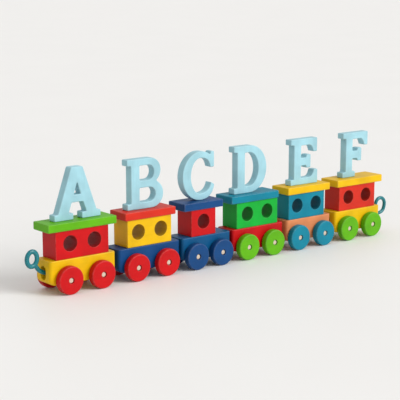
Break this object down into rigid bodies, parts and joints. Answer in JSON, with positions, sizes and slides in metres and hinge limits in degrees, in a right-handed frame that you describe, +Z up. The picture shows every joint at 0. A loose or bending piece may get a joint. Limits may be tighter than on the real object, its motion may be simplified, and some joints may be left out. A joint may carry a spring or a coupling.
{
  "type": "pull along toy train",
  "caption": "Wooden pull along letter train: hooked wagons with turning wheels, window cabins, overhanging roofs and upright alphabet letters.",
  "frame": {"origin": "centre of the ground footprint, under the middle of the train", "axes": "+X from the pull eye to the tail hook, along the train; +Y across the axles, away from the letters' front; +Z up"},
  "size_m": [0.4605, 0.0386, 0.112],
  "materials": {
    "blue_paint": "satin paint over fine wood grain",
    "cyan_paint": "satin paint over fine wood grain",
    "green_paint": "satin paint over fine wood grain",
    "lime_paint": "satin paint over fine wood grain",
    "navy_paint": "satin paint over fine wood grain",
    "orange_red_paint": "satin paint over fine wood grain",
    "peach_paint": "satin paint over fine wood grain",
    "red_paint": "satin paint over fine wood grain",
    "sky_paint": "satin paint over fine wood grain",
    "yellow_paint": "satin paint over fine wood grain",
    "bare_wood": "sanded dowel",
    "teal_plastic": "smooth moulded plastic",
    "steel_pin": "plain drawn wire"
  },
  "bodies": {
    "wagon_1": {"chassis_1": "yellow_paint", "cabin_1": "red_paint", "roof_1": "lime_paint", "letter_1": "sky_paint", "coupling_hook_1": "teal_plastic"},
    "front_wheels_1": {"front_wheel_near_1": "red_paint", "front_axle_far_wheel_1": "red_paint"},
    "rear_wheels_1": {"rear_wheel_near_1": "red_paint", "rear_axle_far_wheel_1": "red_paint"},
    "wagon_2": {"chassis_2": "navy_paint", "cabin_2": "yellow_paint", "roof_2": "orange_red_paint", "letter_2": "sky_paint", "coupling_pin_2": "steel_pin", "coupling_hook_2": "teal_plastic"},
    "front_wheels_2": {"front_wheel_near_2": "red_paint", "front_axle_far_wheel_2": "red_paint"},
    "rear_wheels_2": {"rear_wheel_near_2": "red_paint", "rear_axle_far_wheel_2": "red_paint"},
    "wagon_3": {"chassis_3": "blue_paint", "cabin_3": "red_paint", "roof_3": "navy_paint", "letter_3": "sky_paint", "coupling_pin_3": "steel_pin", "coupling_hook_3": "teal_plastic"},
    "front_wheels_3": {"front_wheel_near_3": "navy_paint", "front_axle_far_wheel_3": "navy_paint"},
    "rear_wheels_3": {"rear_wheel_near_3": "navy_paint", "rear_axle_far_wheel_3": "navy_paint"},
    "wagon_4": {"chassis_4": "red_paint", "cabin_4": "green_paint", "roof_4": "cyan_paint", "letter_4": "sky_paint", "coupling_pin_4": "steel_pin", "coupling_hook_4": "teal_plastic"},
    "front_wheels_4": {"front_wheel_near_4": "lime_paint", "front_axle_far_wheel_4": "lime_paint"},
    "rear_wheels_4": {"rear_wheel_near_4": "lime_paint", "rear_axle_far_wheel_4": "lime_paint"},
    "wagon_5": {"chassis_5": "peach_paint", "cabin_5": "cyan_paint", "roof_5": "yellow_paint", "letter_5": "sky_paint", "coupling_pin_5": "steel_pin", "coupling_hook_5": "teal_plastic"},
    "front_wheels_5": {"front_wheel_near_5": "cyan_paint", "front_axle_far_wheel_5": "cyan_paint"},
    "rear_wheels_5": {"rear_wheel_near_5": "cyan_paint", "rear_axle_far_wheel_5": "cyan_paint"},
    "wagon_6": {"chassis_6": "yellow_paint", "cabin_6": "orange_red_paint", "roof_6": "yellow_paint", "letter_6": "sky_paint", "coupling_pin_6": "steel_pin"},
    "front_wheels_6": {"front_wheel_near_6": "lime_paint", "front_axle_far_wheel_6": "lime_paint"},
    "rear_wheels_6": {"rear_wheel_near_6": "lime_paint", "rear_axle_far_wheel_6": "lime_paint"},
    "pull_eye": {"pull_eye": "teal_plastic"},
    "rear_hook": {"rear_hook": "teal_plastic"}
  },
  "joints": [
    {"name": "coupling_turn_2", "type": "hinge", "parent": "wagon_1", "child": "wagon_2", "pos_m": [-0.1316, 0, 0.0184], "axis": [0, 0, 1], "range_deg": [-15, 15]},
    {"name": "coupling_turn_3", "type": "hinge", "parent": "wagon_2", "child": "wagon_3", "pos_m": [-0.0575, 0, 0.0184], "axis": [0, 0, 1], "range_deg": [-15, 15]},
    {"name": "coupling_turn_4", "type": "hinge", "parent": "wagon_3", "child": "wagon_4", "pos_m": [0.0054, 0, 0.0184], "axis": [0, 0, 1], "range_deg": [-15, 15]},
    {"name": "coupling_turn_5", "type": "hinge", "parent": "wagon_4", "child": "wagon_5", "pos_m": [0.0779, 0, 0.0184], "axis": [0, 0, 1], "range_deg": [-15, 15]},
    {"name": "coupling_turn_6", "type": "hinge", "parent": "wagon_5", "child": "wagon_6", "pos_m": [0.1464, 0, 0.0184], "axis": [0, 0, 1], "range_deg": [-15, 15]},
    {"name": "front_wheels_spin_1", "type": "hinge", "parent": "wagon_1", "child": "front_wheels_1", "pos_m": [-0.1939, 0, 0.013], "axis": [0, 1, 0], "continuous": true},
    {"name": "rear_wheels_spin_1", "type": "hinge", "parent": "wagon_1", "child": "rear_wheels_1", "pos_m": [-0.1589, 0, 0.013], "axis": [0, 1, 0], "continuous": true},
    {"name": "front_wheels_spin_2", "type": "hinge", "parent": "wagon_2", "child": "front_wheels_2", "pos_m": [-0.11935, 0, 0.013], "axis": [0, 1, 0], "continuous": true},
    {"name": "rear_wheels_spin_2", "type": "hinge", "parent": "wagon_2", "child": "rear_wheels_2", "pos_m": [-0.08435, 0, 0.013], "axis": [0, 1, 0], "continuous": true},
    {"name": "front_wheels_spin_3", "type": "hinge", "parent": "wagon_3", "child": "front_wheels_3", "pos_m": [-0.04875, 0, 0.013], "axis": [0, 1, 0], "continuous": true},
    {"name": "rear_wheels_spin_3", "type": "hinge", "parent": "wagon_3", "child": "rear_wheels_3", "pos_m": [-0.01775, 0, 0.013], "axis": [0, 1, 0], "continuous": true},
    {"name": "front_wheels_spin_4", "type": "hinge", "parent": "wagon_4", "child": "front_wheels_4", "pos_m": [0.01615, 0, 0.013], "axis": [0, 1, 0], "continuous": true},
    {"name": "rear_wheels_spin_4", "type": "hinge", "parent": "wagon_4", "child": "rear_wheels_4", "pos_m": [0.05015, 0, 0.013], "axis": [0, 1, 0], "continuous": true},
    {"name": "front_wheels_spin_5", "type": "hinge", "parent": "wagon_5", "child": "front_wheels_5", "pos_m": [0.0854, 0, 0.013], "axis": [0, 1, 0], "continuous": true},
    {"name": "rear_wheels_spin_5", "type": "hinge", "parent": "wagon_5", "child": "rear_wheels_5", "pos_m": [0.1204, 0, 0.013], "axis": [0, 1, 0], "continuous": true},
    {"name": "front_wheels_spin_6", "type": "hinge", "parent": "wagon_6", "child": "front_wheels_6", "pos_m": [0.15665, 0, 0.013], "axis": [0, 1, 0], "continuous": true},
    {"name": "rear_wheels_spin_6", "type": "hinge", "parent": "wagon_6", "child": "rear_wheels_6", "pos_m": [0.19165, 0, 0.013], "axis": [0, 1, 0], "continuous": true},
    {"name": "pull_eye_swing", "type": "hinge", "parent": "wagon_1", "child": "pull_eye", "pos_m": [-0.2059, 0, 0.0184], "axis": [0, 1, 0], "range_deg": [-45, 10]},
    {"name": "rear_hook_swing", "type": "hinge", "parent": "wagon_6", "child": "rear_hook", "pos_m": [0.2019, 0, 0.0184], "axis": [0, 1, 0], "range_deg": [-5, 30]}
  ]
}
